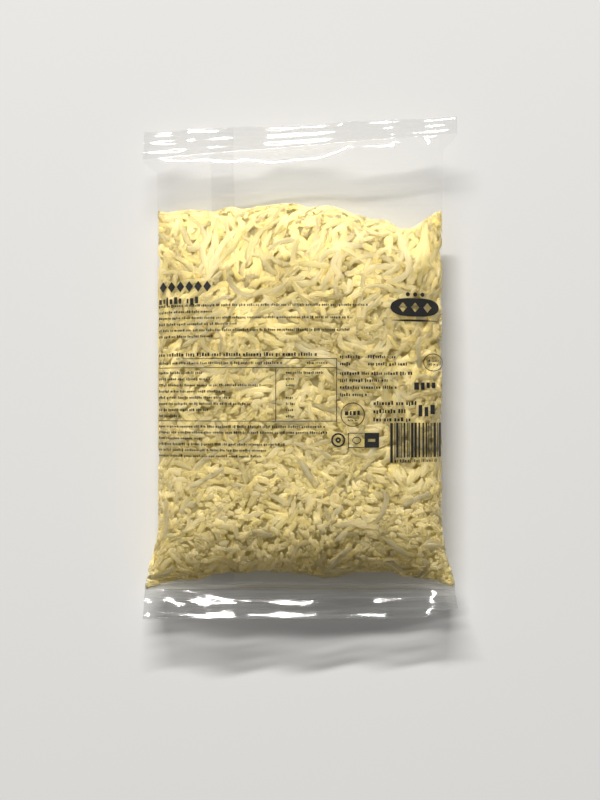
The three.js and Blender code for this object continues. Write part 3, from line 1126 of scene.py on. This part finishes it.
def print_label(marks):
    """A small frame, dark on its right half with a clear bar through it."""
    marks.rule(20.4, 33.4, -27.4, RULE)
    marks.rule(20.4, 33.4, -33.4, RULE)
    marks.upright(20.4, -33.4, -27.4, RULE)
    marks.ring(23.9, -30.4, 1.9, 1.5, 0.35, steps=20)
    marks.block(27.2, 33.4, -33.4, -31.0)
    marks.block(27.2, 33.4, -29.8, -27.4)
    marks.block(27.2, 28.6, -31.0, -29.8)
    marks.block(31.8, 33.4, -31.0, -29.8)


BARS_LEFT = 38.2
BARS_RIGHT = 60.0
BARS_TOP = -23.1
BARS_LOW = -37.8
BAR_UNIT = 0.36


def print_bars(marks, rng):
    """A block of upright bars of several widths, with a row of small marks under it."""
    x = BARS_LEFT
    i = 0
    while x < BARS_RIGHT:
        wide = BAR_UNIT * rng.choice([1, 2, 3], p=[0.5, 0.3, 0.2])
        low = BARS_LOW - (2.2 if i < 2 else 0)
        marks.upright(x + wide / 2, low, BARS_TOP, wide)
        x += wide + BAR_UNIT * rng.choice([1, 2, 3], p=[0.5, 0.3, 0.2])
        i += 1
    marks.line(rng, BARS_LEFT + 2.2, BARS_RIGHT - 0.5, -39.2, 1.3, 0.6)


BADGE = (49.0, 26.0)  # middle of the badge
BADGE_HALF = (10.8, 3.9)
BADGE_STEPS = 60


def print_badge(marks):
    """A dark pill with a row of clear diamonds, over a tapering stroke and under three dots."""
    x = np.linspace(-1, 1, BADGE_STEPS + 1)
    half = BADGE_HALF[1] * np.maximum(1 - np.abs(x) ** 3.2, 0) ** 0.5
    window = np.zeros_like(x)
    for place in (-0.5, 0.0, 0.5):
        window = np.maximum(window, 2.1 * (1 - np.abs(x - place) / 0.17))
    window = np.minimum(window, half * 0.8)
    across = BADGE[0] + x * BADGE_HALF[0]

    def line(height):
        return np.stack([across, BADGE[1] + height], -1)

    marks.strip(line(half), line(np.minimum(window, half)))
    marks.strip(line(-np.minimum(window, half)), line(-half))
    stroke = 0.9 * (1 - x**2)
    marks.strip(line(-5.6 + stroke / 2), line(-5.6 - stroke / 2))
    for place in (-3.2, 0, 3.2):
        marks.ring(BADGE[0] + place, BADGE[1] + 5.5, 0.9, 0.9, 0.85, steps=14)


def build_print():
    rng = np.random.default_rng(5)
    marks = Print()
    print_left(marks, rng)
    print_right(marks, rng)
    print_badge(marks)
    return marks.build()


# ---------------------------------------------------------------- stage

def build_floor():
    mesh = bpy.data.meshes.new("floor")
    size = 6.0
    corners = [(-size, -size, 0), (size, -size, 0), (size, size, 0), (-size, size, 0)]
    mesh.from_pydata(corners, [], [(0, 1, 2, 3)])
    mesh.materials.append(
        plain_material("floor", (0.845, 0.84, 0.83), (0.855, 0.85, 0.84), 3, 0.8))
    floor = bpy.data.objects.new("floor", mesh)
    bpy.context.scene.collection.objects.link(floor)


LIGHT_DISTANCE = 5.0
LIGHT_ELEVATION = np.radians(31.5)
LIGHT_TURN = np.radians(11)  # from +Y towards -X
LIGHT_SIZE = (3.0, 0.21)
LIGHT_POWER = 370.0
FILL = 0.14


def build_light():
    """One long low window of light beyond the bag's top, and an even fill."""
    data = bpy.data.lights.new("key", "AREA")
    data.shape = "RECTANGLE"
    data.size, data.size_y = LIGHT_SIZE
    data.energy = LIGHT_POWER
    data.color = (1.0, 0.985, 0.96)
    key = bpy.data.objects.new("key", data)
    key.location = LIGHT_DISTANCE * np.array([
        -np.sin(LIGHT_TURN) * np.cos(LIGHT_ELEVATION),
        np.cos(LIGHT_TURN) * np.cos(LIGHT_ELEVATION),
        np.sin(LIGHT_ELEVATION),
    ])
    key.rotation_euler = (-(np.pi / 2 - LIGHT_ELEVATION), 0, LIGHT_TURN)
    bpy.context.scene.collection.objects.link(key)
    world = bpy.data.worlds.new("fill")
    world.use_nodes = True
    background = world.node_tree.nodes["Background"]
    background.inputs["Color"].default_value = (1, 0.995, 0.985, 1)
    background.inputs["Strength"].default_value = FILL
    bpy.context.scene.world = world


DIFFUSE_BOUNCES = 12  # pale shreds pass much light on to each other

CAMERA_HEIGHT = 520.0
CAMERA_Y = -14.1
CAMERA_LENS = 52.5


def build_camera():
    data = bpy.data.cameras.new("camera")
    data.lens = CAMERA_LENS
    data.sensor_width = 36
    data.clip_start = 0.01
    camera = bpy.data.objects.new("camera", data)
    camera.location = (0, CAMERA_Y * MM, CAMERA_HEIGHT * MM)
    bpy.context.scene.collection.objects.link(camera)
    bpy.context.scene.camera = camera


build_camera()
build_light()
build_floor()
build_film()
build_seam()
build_core()
build_shreds("shreds_long", 41, 12, (7.6, 10.0), long_size, 0.05, keep_long, (0.7, 1.0), 0.3,
             0.75, 0.14)
build_shreds("shreds_short", 42, 6, (3.5, 4.8), short_size, 0.08, keep_short, (0.45, 0.95), 0.6,
             0.65, 0.18)
build_shreds("bits", 44, 4, (2.7, 4.8), bit_size, 0.15, keep_bits, (0.4, 0.95), 0.9, 0.5, 0.36)
build_shreds("crumbs", 43, 3, (2.4, 4.6), crumb_size, 0.1, keep_crumbs, (0.35, 0.95), 1.0, 0.4, 0.45)
build_print()
bpy.context.scene.view_settings.view_transform = "Standard"
bpy.context.scene.cycles.diffuse_bounces = DIFFUSE_BOUNCES
bpy.context.scene.cycles.max_bounces = 2 * DIFFUSE_BOUNCES
